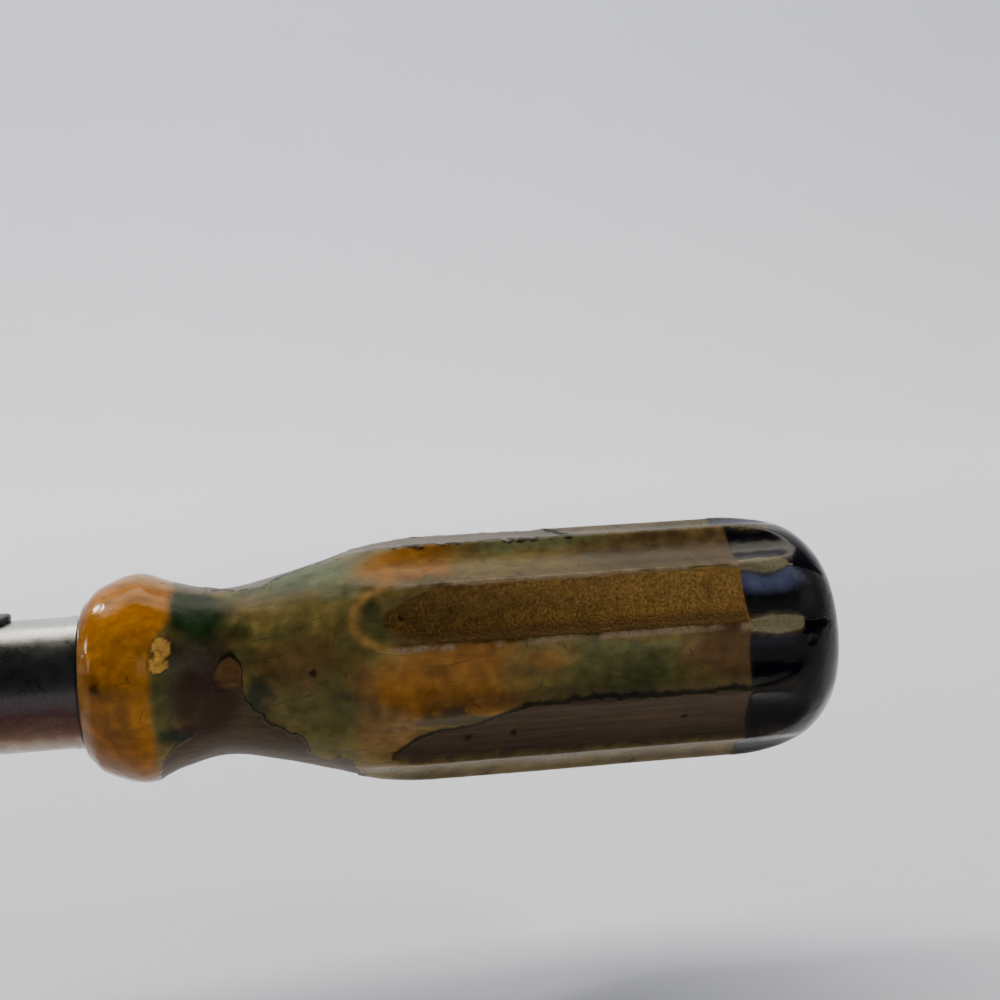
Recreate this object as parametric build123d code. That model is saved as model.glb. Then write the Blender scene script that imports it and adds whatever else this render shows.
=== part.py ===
from build123d import *

import math
import os

# Reversible ratchet screwdriver with a fluted wooden handle.
# Frame: +X runs along the tool from the blade's tip to the handle's butt, +Z is up.
# The origin is on the tool's axis, at the front face of the nose, where the blade comes out.
# All lengths are millimetres and all angles are degrees.

# ---- driving dimensions ----
BLADE_LENGTH = 100.0          # exposed length of the blade
SHANK_RADIUS = 6.35 / 2       # quarter inch round bar
TIP_THICKNESS = 1.0           # across the flats at the very tip
TIP_RADIUS = 2.8              # a cabinet tip, turned a little thinner than the shank
TIP_GRIND = 15.0              # length of the turned and ground tip

FERRULE_RADIUS = 8.4
FERRULE_WALL = 0.9
FERRULE_START = 4.5           # where the nose cap's dome meets the tube
FERRULE_END = 41.85
WASHER_THICKNESS = 0.5

HANDLE_START = FERRULE_END + WASHER_THICKNESS
HANDLE_LENGTH = 97.8
GRIP_RADIUS = 16.0
GRIP_START = 43.1             # from the handle's front face
GRIP_END = 82.8
FLUTES = 12
FLUTE_FLOOR = 14.75           # distance from the axis to the bottom of a flute
FLUTE_CUTTER = 9.5            # radius of the round cutter that made the flutes

TANG_RADIUS = 5.0
TANG_LENGTH = 31.0
BORE_GAP = 0.02               # between parts that are pressed or glued together
RUNNING_GAP = 0.05            # radial clearance of a turning fit
TANG_PIN_RADIUS = 1.2
TANG_PIN_PLACE = 8.1          # from the handle's front face

CAP_SPIGOT_END = 8.6          # the nose cap's spigot ends and the ratchet body starts here
BUSH_RADIUS = 4.4
CHAMBER_RADIUS = 4.6
CHAMBER_END = 24.5
BODY_RADIUS = FERRULE_RADIUS - FERRULE_WALL - RUNNING_GAP

NECK_RADIUS = 2.7             # where the blade turns in the nose bush
JOURNAL_RADIUS = 2.2          # the blade's turned-down rear end
JOURNAL_START = 8.8
JOURNAL_END = 30.0
BEARING_END = 34.0
THRUST_BALL_RADIUS = 1.5

TEETH = 12
WHEEL_TIP = 4.3
WHEEL_ROOT = 3.5
WHEEL_START = 13.5
WHEEL_END = 18.5
HUB_RADIUS = 3.9
HUB_END = 21.5
RING_THICKNESS = 0.6
RING_RADIUS = 2.8
GROOVE_RADIUS = 1.9
SIDE_GAP = 0.1                # axial clearance between turning faces

PAWL_PIVOT = 5.5              # height of the reversing pawl's pin above the axis
PAWL_PIN_RADIUS = 0.5
PAWL_BOSS = 0.85
PAWL_SWING = 10.0             # either way
PAWL_PIN_START = WHEEL_START - 2.3
PAWL_PIN_END = WHEEL_END + 2.3
PAWL_MIDDLE = (WHEEL_START + WHEEL_END) / 2
FINGER_FOOT = 0.6             # height of the spring finger's seat above the pivot
FINGER_HALF_WIDTH = 0.25

SHIFT_TRAVEL = 2.5            # either way from the middle
PLATE_BOTTOM = 6.4
PLATE_TOP = 6.95
PLATE_HALF_WIDTH = 2.0
PLATE_START = 11.4
PLATE_END = 34.8
BUTTON_CENTRE = 27.3
BUTTON_LENGTH = 12.0
BUTTON_WIDTH = 5.2
BUTTON_RADIUS = 9.4           # crown of the button, from the axis
BUTTON_GAP = 0.15
RIVET_RADIUS = 1.1
DETENT_PLACE = 31.5
DETENT_BALL = 0.7
DETENT_FLOOR = 2.9
DETENT_BALL_CENTRE = PLATE_BOTTOM - 0.05 - DETENT_BALL

SCREW_ANGLES = (80, 170)      # round the ferrule, on its far side and underneath
SCREW_PLACE = 38.0


# ---- helpers ----
def rod(start, end, radius):
    """A solid cylinder on the tool's axis, from start to end."""
    middle = (start + end) / 2
    return Pos(middle, 0, 0) * Rot(0, 90, 0) * Cylinder(radius, end - start)


def tube(start, end, outer, inner):
    """A sleeve on the tool's axis."""
    return rod(start, end, outer) - rod(start - 1, end + 1, inner)


def upright(x, bottom, top, radius):
    """A solid cylinder that stands along Z over the axis."""
    return Pos(x, 0, (bottom + top) / 2) * Cylinder(radius, top - bottom)


def turned(edges):
    """A solid of revolution from a closed outline in (x, radius)."""
    return revolve(make_face(edges), Axis.X)


def block(x0, x1, y0, y1, z0, z1):
    return Pos((x0 + x1) / 2, (y0 + y1) / 2, (z0 + z1) / 2) * Box(x1 - x0, y1 - y0, z1 - z0)


def round_point(radius, angle):
    """A point in the (y, z) section, with the angle measured from +Z towards +Y."""
    return (radius * math.sin(math.radians(angle)), radius * math.cos(math.radians(angle)))


def prism(points, start, end):
    """A straight prism along X over a polygon given in the (y, z) section."""
    corners = [(start, y, z) for y, z in points]
    face = make_face(Polyline(*corners, close=True))
    return extrude(face, amount=end - start, dir=(1, 0, 0))


# ---- handle ----
def make_handle():
    front, length = HANDLE_START, HANDLE_LENGTH
    front_radius = 9.9
    bead = [(0.3, front_radius + 0.3), (2.0, 11.8), (7.0, 13.4), (11.6, 11.9), (17.2, 10.8),
            (23.6, 11.9), (30.1, 13.6), (36.6, 15.4), (GRIP_START, GRIP_RADIUS)]
    butt = [(GRIP_END, GRIP_RADIUS), (88.6, 15.4), (93.2, 13.5), (96.3, 9.6), (length, 0)]
    bead_points = [(front + t, radius) for t, radius in bead]
    butt_points = [(front + t, radius) for t, radius in butt]
    outline = [
        Line((front, 0), (front, front_radius)),
        Line((front, front_radius), bead_points[0]),
        Spline(*bead_points, tangents=[(1, 1), (1, 0)]),
        Line(bead_points[-1], butt_points[0]),
        Spline(*butt_points, tangents=[(1, 0), (0, -1)]),
        Line((front + length, 0), (front, 0)),
    ]
    handle = turned(outline)
    cutter = Pos(0, 0, FLUTE_FLOOR + FLUTE_CUTTER) * rod(front, front + length + 5, FLUTE_CUTTER)
    for number in range(FLUTES):
        handle -= Rot(number * 360 / FLUTES, 0, 0) * cutter
    handle -= rod(front - 1, front + TANG_LENGTH + 1, TANG_RADIUS + BORE_GAP)
    handle -= tang_pin_bar(TANG_PIN_RADIUS + BORE_GAP, GRIP_RADIUS)
    return handle


def tang_pin_bar(radius, far_end):
    """The cross pin's bar, driven in from the +Y side and stopping short of the other side."""
    near_end = -10.0
    bar = Rot(90, 0, 0) * Cylinder(radius, far_end - near_end)
    return Pos(HANDLE_START + TANG_PIN_PLACE, (far_end + near_end) / 2, 0) * bar


def make_tang_pin():
    return tang_pin_bar(TANG_PIN_RADIUS, 12.9)


# ---- ferrule and nose ----
def make_ferrule():
    inner = FERRULE_RADIUS - FERRULE_WALL
    shell = tube(FERRULE_START, FERRULE_END, FERRULE_RADIUS, inner)
    lip_length, lip_height = 1.2, 0.1
    shell += tube(FERRULE_END - lip_length, FERRULE_END, FERRULE_RADIUS + lip_height, inner)
    reach = RIVET_RADIUS + SHIFT_TRAVEL + 0.3
    window = Pos(BUTTON_CENTRE, 0, 0) * extrude(SlotOverall(2 * reach, 2 * RIVET_RADIUS + 0.6),
                                                 amount=FERRULE_RADIUS + 2)
    shell -= window
    for angle in SCREW_ANGLES:
        shell -= Rot(-angle, 0, 0) * screw_blank(BORE_GAP)
    return shell


def make_ferrule_washer():
    return tube(FERRULE_END, HANDLE_START, FERRULE_RADIUS, TANG_RADIUS + BORE_GAP)


def screw_blank(gap):
    """A countersunk screw's outline, standing along Z."""
    head_radius, shank_radius, head_depth, length = 1.7, 0.8, 0.9, 3.6
    top = FERRULE_RADIUS - 0.05
    head = Pos(SCREW_PLACE, 0, top - head_depth / 2) * Cone(shank_radius + gap, head_radius + gap,
                                                            head_depth)
    return head + upright(SCREW_PLACE, top - length, top - head_depth, shank_radius + gap)


def make_ferrule_screws():
    top = FERRULE_RADIUS - 0.05
    slot = block(SCREW_PLACE - 2, SCREW_PLACE + 2, -0.2, 0.2, top - 0.4, top + 1)
    screw = screw_blank(0) - slot
    return Compound(children=[Rot(-angle, 0, 0) * screw for angle in SCREW_ANGLES])


def make_nose_cap():
    lip = BUSH_RADIUS + 0.8
    outline = [
        Line((0, BUSH_RADIUS), (0, lip)),
        ThreePointArc((0, lip), (1.5, 7.3), (FERRULE_START, FERRULE_RADIUS)),
        Line((FERRULE_START, FERRULE_RADIUS), (FERRULE_START, BODY_RADIUS)),
        Line((FERRULE_START, BODY_RADIUS), (CAP_SPIGOT_END, BODY_RADIUS)),
        Line((CAP_SPIGOT_END, BODY_RADIUS), (CAP_SPIGOT_END, BUSH_RADIUS)),
        Line((CAP_SPIGOT_END, BUSH_RADIUS), (0, BUSH_RADIUS)),
    ]
    return turned(outline)


def make_nose_bush():
    return tube(0.3, CAP_SPIGOT_END, BUSH_RADIUS - BORE_GAP, NECK_RADIUS + RUNNING_GAP)


# ---- ratchet body ----
def make_ratchet_body():
    body = rod(CAP_SPIGOT_END, FERRULE_END, BODY_RADIUS)
    tang = rod(FERRULE_END, HANDLE_START + TANG_LENGTH, TANG_RADIUS)
    tang = chamfer(tang.faces().sort_by(Axis.X)[-1].edges(), 1.0)
    body += tang
    body -= rod(CAP_SPIGOT_END - 1, CHAMBER_END, CHAMBER_RADIUS)
    body -= rod(CHAMBER_END - 1, BEARING_END, JOURNAL_RADIUS + RUNNING_GAP)
    wide = BODY_RADIUS + 1
    body -= block(WHEEL_START - 0.3, WHEEL_END + 0.3, -wide, wide, 2.2, wide)
    track = PLATE_HALF_WIDTH + 0.3
    body -= block(CAP_SPIGOT_END - 1, PLATE_END + SHIFT_TRAVEL + 0.5, -track, track,
                  PLATE_BOTTOM - 0.1, wide)
    body -= Pos(0, 0, PAWL_PIVOT) * rod(PAWL_PIN_START, PAWL_PIN_END, PAWL_PIN_RADIUS + BORE_GAP)
    body -= upright(DETENT_PLACE, DETENT_FLOOR, BODY_RADIUS + 1, DETENT_BALL + RUNNING_GAP)
    body -= tang_pin_bar(TANG_PIN_RADIUS + BORE_GAP, GRIP_RADIUS)
    for angle in SCREW_ANGLES:
        body -= Rot(-angle, 0, 0) * screw_blank(BORE_GAP)
    return body


def make_thrust_ball():
    return Pos(JOURNAL_END + THRUST_BALL_RADIUS + 0.02, 0, 0) * Sphere(THRUST_BALL_RADIUS)


def make_thrust_washer():
    start = JOURNAL_END + 2 * THRUST_BALL_RADIUS + 0.04
    return rod(start, BEARING_END, JOURNAL_RADIUS)


# ---- blade and what turns with it ----
def make_tip():
    """The tip, turned down and then hollow ground on two sides to a straight edge."""
    tip, grind_end = -BLADE_LENGTH, -BLADE_LENGTH + TIP_GRIND
    high, flat = TIP_RADIUS + 0.1, TIP_THICKNESS / 2
    middle = (tip + TIP_GRIND / 2, 0, 0.35 * TIP_RADIUS)
    ground = make_face([
        ThreePointArc((tip, 0, flat), middle, (grind_end, 0, high)),
        Line((grind_end, 0, high), (tip, 0, high)),
        Line((tip, 0, high), (tip, 0, flat)),
    ])
    cut = extrude(ground, amount=TIP_RADIUS + 1, dir=(0, 1, 0), both=True)
    return rod(tip, grind_end, TIP_RADIUS) - cut - Rot(180, 0, 0) * cut


def make_blade():
    shank = rod(-BLADE_LENGTH + TIP_GRIND, 0, SHANK_RADIUS) + make_tip()
    journal = rod(0, JOURNAL_START, NECK_RADIUS) + rod(JOURNAL_START, JOURNAL_END, JOURNAL_RADIUS)
    groove = tube(HUB_END + SIDE_GAP, HUB_END + SIDE_GAP + RING_THICKNESS, RING_RADIUS,
                  GROOVE_RADIUS)
    journal -= groove
    return (shank + journal) - wheel_pin_bar(BORE_GAP)


def make_wheel_spacer():
    return tube(JOURNAL_START, WHEEL_START, HUB_RADIUS, JOURNAL_RADIUS)


def make_ratchet_wheel():
    points = []
    pitch = 360 / TEETH
    tip_half_angle, root_half_angle = 3.3, 4.0
    for number in range(TEETH):
        tooth, gap = number * pitch, (number + 0.5) * pitch
        points.append(round_point(WHEEL_TIP, tooth - tip_half_angle))
        points.append(round_point(WHEEL_TIP, tooth + tip_half_angle))
        points.append(round_point(WHEEL_ROOT, gap - root_half_angle))
        points.append(round_point(WHEEL_ROOT, gap + root_half_angle))
    wheel = prism(points, WHEEL_START, WHEEL_END)
    wheel += rod(WHEEL_END, HUB_END, HUB_RADIUS)
    wheel -= rod(WHEEL_START - 1, HUB_END + 1, JOURNAL_RADIUS)
    return wheel - wheel_pin_bar(BORE_GAP)


def wheel_pin_bar(gap):
    half_length = HUB_RADIUS - 0.05 if gap == 0 else HUB_RADIUS + 1
    place = (WHEEL_END + HUB_END) / 2
    return upright(place, -half_length, half_length, 0.5 + gap)


def make_wheel_pin():
    return wheel_pin_bar(0)


def make_retaining_ring():
    start = HUB_END + SIDE_GAP
    ring = tube(start, start + RING_THICKNESS, RING_RADIUS, GROOVE_RADIUS)
    return ring - block(start - 1, start + 2, -0.6, 0.6, 0, RING_RADIUS + 1)


# ---- reversing pawl ----
def make_reversing_pawl():
    right = [(0.6, 4.8), (2.75, 4.35), (3.04, 3.25), (3.25, 3.04), (4.1, 3.35), (4.67, 3.92),
             (2.6, 5.7), (0.6, 6.1)]
    left = [(-y, z) for y, z in reversed(right)]
    start, end = WHEEL_START + SIDE_GAP, WHEEL_END - SIDE_GAP
    pawl = prism(right + left, start, end)
    boss = Pos(0, 0, PAWL_PIVOT) * rod(start, end, PAWL_BOSS)
    bore = Pos(0, 0, PAWL_PIVOT) * rod(WHEEL_START - 1, WHEEL_END + 1,
                                       PAWL_PIN_RADIUS + RUNNING_GAP)
    seat = block(PAWL_MIDDLE - 0.4, PAWL_MIDDLE + 0.4, -FINGER_HALF_WIDTH, FINGER_HALF_WIDTH,
                 PAWL_PIVOT + FINGER_FOOT, PAWL_PIVOT + 2)
    return pawl + boss - bore - seat


def make_pawl_spring():
    """The flat spring finger that stands up from the pawl into the shifter plate's slot."""
    half = FINGER_HALF_WIDTH - BORE_GAP
    return block(PAWL_MIDDLE - 0.38, PAWL_MIDDLE + 0.38, -half, half,
                 PAWL_PIVOT + FINGER_FOOT + BORE_GAP, PLATE_TOP - 0.05)


def make_pawl_pin():
    return Pos(0, 0, PAWL_PIVOT) * rod(PAWL_PIN_START, PAWL_PIN_END, PAWL_PIN_RADIUS)


# ---- shifter ----
def make_shifter_plate():
    plate = block(PLATE_START, PLATE_END, -PLATE_HALF_WIDTH, PLATE_HALF_WIDTH, PLATE_BOTTOM,
                  PLATE_TOP)
    finger_height = (PLATE_BOTTOM + PLATE_TOP) / 2 - PAWL_PIVOT
    sideways = finger_height * math.tan(math.radians(PAWL_SWING))
    slant = math.degrees(math.atan2(sideways, SHIFT_TRAVEL))
    slot_length = 2 * (SHIFT_TRAVEL + 0.7)
    slot_width = 2 * (FINGER_HALF_WIDTH + 0.2)
    slot = Rot(0, 0, slant) * Box(slot_length, slot_width, 3)
    plate -= Pos(PAWL_MIDDLE, 0, PLATE_TOP) * slot
    plate -= upright(BUTTON_CENTRE, 0, FERRULE_RADIUS, 0.8)
    dimple = Pos(DETENT_PLACE, 0, PLATE_BOTTOM - DETENT_BALL + 0.2) * Sphere(DETENT_BALL)
    notches = (-SHIFT_TRAVEL, 0, SHIFT_TRAVEL)
    for step in notches:
        plate -= Pos(step, 0, 0) * dimple
    return plate


def make_shifter_rivet():
    stem_top = BUTTON_RADIUS - 0.5
    rivet = upright(BUTTON_CENTRE, PLATE_TOP, stem_top, RIVET_RADIUS)
    return rivet + upright(BUTTON_CENTRE, PLATE_BOTTOM, PLATE_TOP, 0.8 - BORE_GAP)


def make_shifter_button():
    plan = extrude(SlotOverall(BUTTON_LENGTH, BUTTON_WIDTH), amount=BUTTON_RADIUS + 1)
    plan = Pos(BUTTON_CENTRE, 0, 0) * plan
    crown_start = BUTTON_CENTRE - BUTTON_LENGTH
    crown_end = BUTTON_CENTRE + BUTTON_LENGTH
    button = plan & rod(crown_start, crown_end, BUTTON_RADIUS)
    top = button.faces().sort_by(Axis.Z)[-1]
    button = fillet(top.edges(), 0.45)
    button -= rod(crown_start, crown_end, FERRULE_RADIUS + BUTTON_GAP)
    button -= upright(BUTTON_CENTRE, 0, BUTTON_RADIUS - 0.5, RIVET_RADIUS + BORE_GAP)
    grip_grooves, groove_pitch, groove_depth = 5, 1.3, 0.22
    for number in range(grip_grooves):
        place = BUTTON_CENTRE + (number - (grip_grooves - 1) / 2) * groove_pitch
        button -= tube(place - 0.25, place + 0.25, BUTTON_RADIUS + 1, BUTTON_RADIUS - groove_depth)
    return button


def make_detent_ball():
    return Pos(DETENT_PLACE, 0, DETENT_BALL_CENTRE) * Sphere(DETENT_BALL)


def make_detent_spring():
    wire, coil = 0.13, 0.5
    bottom = DETENT_FLOOR + wire + 0.02
    height = DETENT_BALL_CENTRE - DETENT_BALL - 2 * wire - DETENT_FLOOR - 0.04
    path = Pos(DETENT_PLACE, 0, bottom) * Helix(pitch=height / 4, height=height, radius=coil)
    start = Plane(origin=path @ 0, z_dir=path % 0)
    return sweep(start * Circle(wire), path=path)


PIECES = {
    "handle": make_handle,
    "tang_pin": make_tang_pin,
    "ferrule": make_ferrule,
    "ferrule_washer": make_ferrule_washer,
    "ferrule_screws": make_ferrule_screws,
    "nose_cap": make_nose_cap,
    "nose_bush": make_nose_bush,
    "ratchet_body": make_ratchet_body,
    "thrust_ball": make_thrust_ball,
    "thrust_washer": make_thrust_washer,
    "blade": make_blade,
    "wheel_spacer": make_wheel_spacer,
    "ratchet_wheel": make_ratchet_wheel,
    "wheel_pin": make_wheel_pin,
    "retaining_ring": make_retaining_ring,
    "reversing_pawl": make_reversing_pawl,
    "pawl_spring": make_pawl_spring,
    "pawl_pin": make_pawl_pin,
    "shifter_button": make_shifter_button,
    "shifter_plate": make_shifter_plate,
    "shifter_rivet": make_shifter_rivet,
    "detent_ball": make_detent_ball,
    "detent_spring": make_detent_spring,
}


def main():
    os.makedirs("parts", exist_ok=True)
    for name, make in PIECES.items():
        export_step(make(), f"parts/{name}.step")


if __name__ == "__main__":
    main()
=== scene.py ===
import math

import bpy
import numpy as np
from bpy.props import FloatProperty, FloatVectorProperty, IntProperty, PointerProperty
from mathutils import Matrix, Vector, noise


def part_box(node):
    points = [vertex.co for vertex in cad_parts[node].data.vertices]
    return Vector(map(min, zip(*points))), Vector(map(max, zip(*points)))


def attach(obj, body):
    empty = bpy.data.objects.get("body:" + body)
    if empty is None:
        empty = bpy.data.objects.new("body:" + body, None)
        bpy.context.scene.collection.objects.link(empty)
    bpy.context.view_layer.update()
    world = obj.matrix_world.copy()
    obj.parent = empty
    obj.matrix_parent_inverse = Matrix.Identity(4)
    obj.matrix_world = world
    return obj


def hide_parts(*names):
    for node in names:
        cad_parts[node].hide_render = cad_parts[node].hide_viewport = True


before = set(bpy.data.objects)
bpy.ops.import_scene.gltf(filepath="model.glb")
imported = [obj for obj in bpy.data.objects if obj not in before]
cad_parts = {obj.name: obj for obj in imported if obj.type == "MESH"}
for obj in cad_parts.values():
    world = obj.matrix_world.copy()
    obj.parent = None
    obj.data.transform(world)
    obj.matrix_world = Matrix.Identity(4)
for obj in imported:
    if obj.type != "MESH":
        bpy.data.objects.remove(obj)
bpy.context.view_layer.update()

bl_info = {
    "name": "Ratchet screwdriver",
    "version": (1, 0, 0),
    "blender": (4, 5, 0),
    "location": "3D View > Sidebar > Screwdriver",
    "description": "Turns, flutes and finishes an old ratchet screwdriver around its packed frame",
    "category": "Add Mesh",
}

MM = 0.001
FLUTES = 12
PITCH = 360 / FLUTES  # degrees from one flute to the next
POINTS_PER_SPAN = 40  # of the outline, between two of its given points
WHITE = (1, 1, 1)
WARM = (1.0, 0.965, 0.885)

# ---- places that come from the frame ----
HANDLE_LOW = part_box("handle")[0]
BEAD_FACE = HANDLE_LOW.x  # front face of the handle's bead
TANG_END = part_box("ratchet_body")[1].x
FERRULE_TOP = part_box("ferrule")[1].z


# ---- settings a user would change ----
class HandleSettings(bpy.types.PropertyGroup):
    segments: IntProperty(name="Segments", description="Facets round the handle", default=312)
    rings: IntProperty(name="Rings", description="Rings along the outside", default=300)
    flute_floor: FloatProperty(
        name="Flute floor", description="From the axis to the bottom of a flute",
        default=14.75 * MM, unit="LENGTH")
    cutter: FloatProperty(
        name="Cutter", description="Radius of the round cutter that made the flutes",
        default=9.5 * MM, unit="LENGTH")
    film: FloatProperty(
        name="Film", description="Thickness of the lacquer", default=0.13 * MM, unit="LENGTH")
    dip: FloatProperty(
        name="Dip", description="Where the dark butt dip starts, from the outline's zero",
        default=84.25 * MM, unit="LENGTH")


class FinishSettings(bpy.types.PropertyGroup):
    specular: FloatProperty(
        name="Gloss", description="How strongly the lacquer reflects", default=0.13)
    tint: FloatVectorProperty(
        name="Tint", description="Colour of the lacquer's reflections", default=(1.0, 0.86, 0.66),
        subtype="COLOR", size=3)
    gold: FloatVectorProperty(
        name="Gold", description="Bronze powder paint in the flutes", default=(0.28, 0.145, 0.034),
        subtype="COLOR", size=3)
    worn: FloatVectorProperty(
        name="Worn", description="Rubbed crests", default=(0.27, 0.185, 0.105),
        subtype="COLOR", size=3)
    khaki: FloatVectorProperty(
        name="Khaki", description="Crests rubbed through the dip", default=(0.20, 0.17, 0.085),
        subtype="COLOR", size=3)


class StageSettings(bpy.types.PropertyGroup):
    lens: FloatProperty(name="Lens", description="Focal length", default=53.64, unit="CAMERA")
    gap: FloatProperty(
        name="Gap", description="From the floor up to the tool", default=26 * MM, unit="LENGTH")


# ---- small helpers ----
def settings():
    return bpy.context.scene.screwdriver_handle, bpy.context.scene.screwdriver_finish


def deselect():
    if bpy.context.mode != "OBJECT":
        bpy.ops.object.mode_set(mode="OBJECT")
    bpy.ops.object.select_all(action="DESELECT")


def smoothstep(low, high, value):
    share = np.clip((value - low) / (high - low), 0, 1)
    return share * share * (3 - 2 * share)


def smooth_minimum(a, b, blend):
    """The lower of two heights, with their crossing rounded over about blend."""
    share = np.clip(0.5 + 0.5 * (b - a) / blend, 0, 1)
    return b + (a - b) * share - blend * share * (1 - share)


def curve_through(points, first_tangent, last_tangent):
    """A smooth curve through points in (x, radius), with its direction given at both ends."""
    points = np.array(points, float)
    chord = np.linalg.norm(np.diff(points, axis=0), axis=1)
    place = np.concatenate([[0], np.cumsum(chord)])
    slope = np.zeros_like(points)
    slope[1:-1] = (points[2:] - points[:-2]) / (place[2:] - place[:-2])[:, None]
    slope[0] = np.array(first_tangent) / np.linalg.norm(first_tangent)
    slope[-1] = np.array(last_tangent) / np.linalg.norm(last_tangent)
    found = []
    for i, length in enumerate(chord):
        u = np.linspace(0, 1, POINTS_PER_SPAN, endpoint=False)[:, None]
        found.append((2 * u**3 - 3 * u**2 + 1) * points[i]
                     + (u**3 - 2 * u**2 + u) * length * slope[i]
                     + (3 * u**2 - 2 * u**3) * points[i + 1]
                     + (u**3 - u**2) * length * slope[i + 1])
    return np.vstack(found + [points[-1:]])


def evenly(points, count):
    """count points along a line of points, the same distance apart."""
    place = np.concatenate([[0], np.cumsum(np.linalg.norm(np.diff(points, axis=0), axis=1))])
    wanted = np.linspace(0, place[-1], count)
    return np.column_stack([np.interp(wanted, place, points[:, k]) for k in range(2)])


def cloud(coords, size, octaves, shift):
    """Fractal noise of about -1 to 1 at each point, with features of about that size."""
    offset = Vector((shift, shift * 0.37, -shift * 0.71))
    scale = 1 / size
    return np.array([noise.fractal(Vector(co) * scale + offset, 0.9, 2.1, octaves)
                     for co in coords])


def set_attribute(mesh, name, values):
    layer = mesh.attributes.new(name, "FLOAT", "POINT")
    layer.data.foreach_set("value", np.clip(values, -1, 2).astype(np.float32))


# ---- material building ----
class Recipe:
    """A node material with one Principled shader, built step by step."""

    def __init__(self, name, **shader_values):
        self.material = bpy.data.materials.new(name)
        self.material.use_nodes = True
        self.tree = self.material.node_tree
        self.shader = self.tree.nodes["Principled BSDF"]
        for socket, value in shader_values.items():
            self.shader.inputs[socket.replace("_", " ")].default_value = value
        self.place = self.add("ShaderNodeTexCoord").outputs["Object"]

    def add(self, kind, **values):
        node = self.tree.nodes.new(kind)
        for key, value in values.items():
            setattr(node, key, value)
        return node

    def put(self, socket, value):
        if hasattr(value, "is_linked") or hasattr(value, "links"):
            self.tree.links.new(value, socket)
        elif hasattr(value, "__len__") and len(value) == 3 and socket.type == "RGBA":
            socket.default_value = (*value, 1)
        else:
            socket.default_value = value

    def output(self, socket, value):
        self.put(self.shader.inputs[socket], value)

    def attribute(self, name):
        return self.add("ShaderNodeAttribute", attribute_name=name).outputs["Fac"]

    def stretched(self, scale):
        node = self.add("ShaderNodeMapping")
        self.put(node.inputs["Vector"], self.place)
        node.inputs["Scale"].default_value = scale
        return node.outputs["Vector"]

    def noise(self, size, detail, roughness, stretch=None):
        node = self.add("ShaderNodeTexNoise")
        self.put(node.inputs["Vector"], self.stretched(stretch) if stretch else self.place)
        node.inputs["Scale"].default_value = 1 / size
        node.inputs["Detail"].default_value = detail
        node.inputs["Roughness"].default_value = roughness
        return node.outputs["Fac"]

    def cells(self, size, stretch):
        """The distance to the nearest edge between cells of about that size."""
        node = self.add("ShaderNodeTexVoronoi", feature="DISTANCE_TO_EDGE")
        self.put(node.inputs["Vector"], self.stretched(stretch))
        node.inputs["Scale"].default_value = 1 / size
        return node.outputs["Distance"]

    def math(self, operation, a, b):
        node = self.add("ShaderNodeMath", operation=operation)
        self.put(node.inputs[0], a)
        self.put(node.inputs[1], b)
        return node.outputs[0]

    def spread(self, value, low, high, to_low=0.0, to_high=1.0):
        """A value between low and high, eased over to the range from to_low to to_high."""
        node = self.add("ShaderNodeMapRange", clamp=True, interpolation_type="SMOOTHSTEP")
        self.put(node.inputs["Value"], value)
        node.inputs["From Min"].default_value = low
        node.inputs["From Max"].default_value = high
        node.inputs["To Min"].default_value = to_low
        node.inputs["To Max"].default_value = to_high
        return node.outputs["Result"]

    def mix(self, factor, a, b, blend="MIX"):
        node = self.add("ShaderNodeMix", data_type="RGBA", blend_type=blend)
        self.put(node.inputs[0], factor)
        self.put(node.inputs[6], a)
        self.put(node.inputs[7], b)
        return node.outputs[2]

    def blend(self, factor, a, b):
        node = self.add("ShaderNodeMix", data_type="FLOAT")
        self.put(node.inputs[0], factor)
        self.put(node.inputs[2], a)
        self.put(node.inputs[3], b)
        return node.outputs[0]

    def ramp(self, factor, stops):
        node = self.add("ShaderNodeValToRGB")
        self.put(node.inputs["Fac"], factor)
        elements = node.color_ramp.elements
        while len(elements) < len(stops):
            elements.new(0.5)
        for element, (position, colour) in zip(elements, stops):
            element.position = position
            element.color = (*colour, 1)
        return node.outputs["Color"]

    def add_grey(self, value):
        """A number as a grey colour."""
        node = self.add("ShaderNodeCombineColor")
        for socket in node.inputs:
            self.put(socket, value)
        return node.outputs["Color"]

    def bump(self, height, distance, strength):
        node = self.add("ShaderNodeBump")
        node.inputs["Strength"].default_value = strength
        node.inputs["Distance"].default_value = distance
        self.put(node.inputs["Height"], height)
        return node.outputs["Normal"]


def dress(node_name, material):
    """Gives a node of the frame its material. Its shape stays as it is."""
    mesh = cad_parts[node_name].data
    mesh.materials.clear()
    mesh.materials.append(material)


# ---- handle: the lathe outline ----
# Places run from where the ferrule's shoulder would be, 1.35 mm in front of the bead's front
# face, towards the butt. They are in millimetres.
PLACE_ZERO = BEAD_FACE - 1.35 * MM
BEAD_OUTLINE = [(1.65, 10.2), (3.35, 11.8), (8.35, 13.4), (12.95, 11.9), (18.55, 10.8),
                (24.95, 11.9), (31.45, 13.6), (37.95, 15.4), (44.45, 16.0)]
BUTT_OUTLINE = [(84.15, 16.0), (89.95, 15.4), (94.55, 13.5), (97.65, 9.6), (99.15, 0.0)]
FRONT_PLACE, FRONT_RADIUS = 1.35, 9.9
BORE_RADIUS = 5.02
PLACE_SCALE = 100  # the attribute along is the place divided by this


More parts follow.
